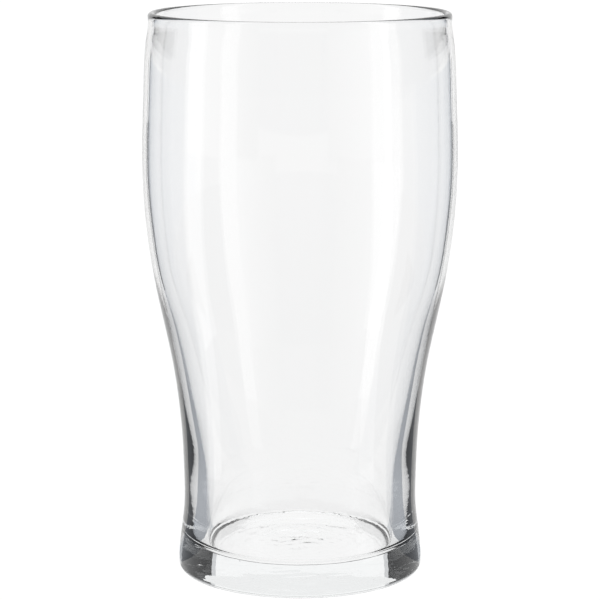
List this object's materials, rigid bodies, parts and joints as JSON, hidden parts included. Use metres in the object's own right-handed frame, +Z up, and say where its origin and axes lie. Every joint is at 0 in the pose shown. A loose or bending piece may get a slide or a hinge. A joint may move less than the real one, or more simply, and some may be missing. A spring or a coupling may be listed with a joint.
{
  "type": "pint glass",
  "caption": "Clear one-piece beer glass with a thick heavy foot, a narrow waist, a round belly and a melted rim. Stands on its foot and holds one imperial pint to the brim.",
  "frame": {"origin": "centre of the foot, on the surface the glass stands on", "axes": "+Z up along the axis of the glass, which is also its longest side; X and Y are any two square directions across it"},
  "size_m": [0.0845, 0.0844, 0.152],
  "materials": {
    "clear_glass": "clear soda-lime glass, polished, with soft press ripples in the foot"
  },
  "bodies": {
    "root": {"glass_body": "clear_glass"}
  },
  "joints": []
}
